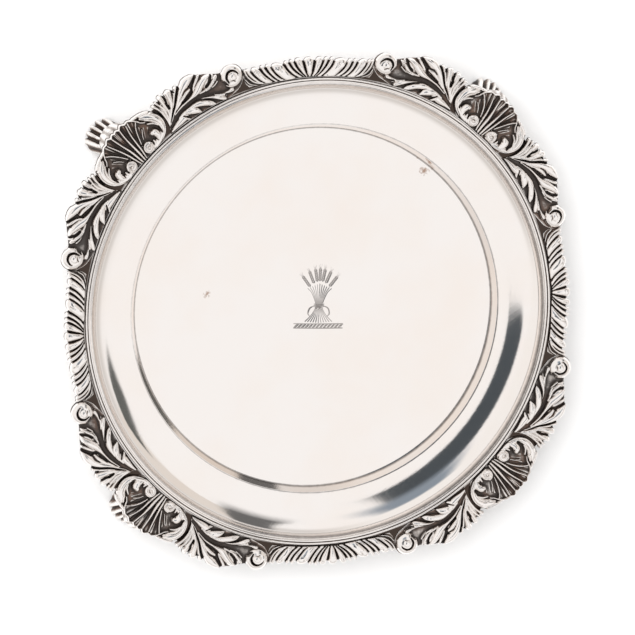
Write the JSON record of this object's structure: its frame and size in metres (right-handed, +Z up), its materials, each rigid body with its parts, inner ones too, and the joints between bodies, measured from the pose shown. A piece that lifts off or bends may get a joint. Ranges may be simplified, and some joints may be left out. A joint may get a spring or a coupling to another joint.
{
  "type": "silver salver",
  "caption": "Square-cornered footed silver salver with a sunk round dish and a cast border of shells, leaf scrolls and gadroon fans.",
  "frame": {"origin": "on the table, under the centre of the round dish", "axes": "+Z up through the dish; +X and +Y through the gadroon fans at the middles of two sides, so that the shells and feet are on the diagonals"},
  "size_m": [0.232, 0.232, 0.0287],
  "materials": {
    "dish_silver": "polished sterling silver with fine handling scratches and a faint warm bloom",
    "bead_silver": "polished silver wire moulding, tarnished in its grooves",
    "cast_silver": "cast and chased silver, bright on the high points, brown-black in the recesses",
    "foot_silver": "cast silver foot, tarnished between its toes"
  },
  "bodies": {
    "root": {"tray_plate": "dish_silver", "rim_moulding": "bead_silver", "shell_north_east": "cast_silver", "right_leaf_north_east": "cast_silver", "left_leaf_north_east": "cast_silver", "foot_north_east": "foot_silver", "shell_north_west": "cast_silver", "right_leaf_north_west": "cast_silver", "left_leaf_north_west": "cast_silver", "foot_north_west": "foot_silver", "shell_south_west": "cast_silver", "right_leaf_south_west": "cast_silver", "left_leaf_south_west": "cast_silver", "foot_south_west": "foot_silver", "shell_south_east": "cast_silver", "right_leaf_south_east": "cast_silver", "left_leaf_south_east": "cast_silver", "foot_south_east": "foot_silver", "fan_north": "cast_silver", "fan_west": "cast_silver", "fan_south": "cast_silver", "fan_east": "cast_silver"}
  },
  "joints": []
}
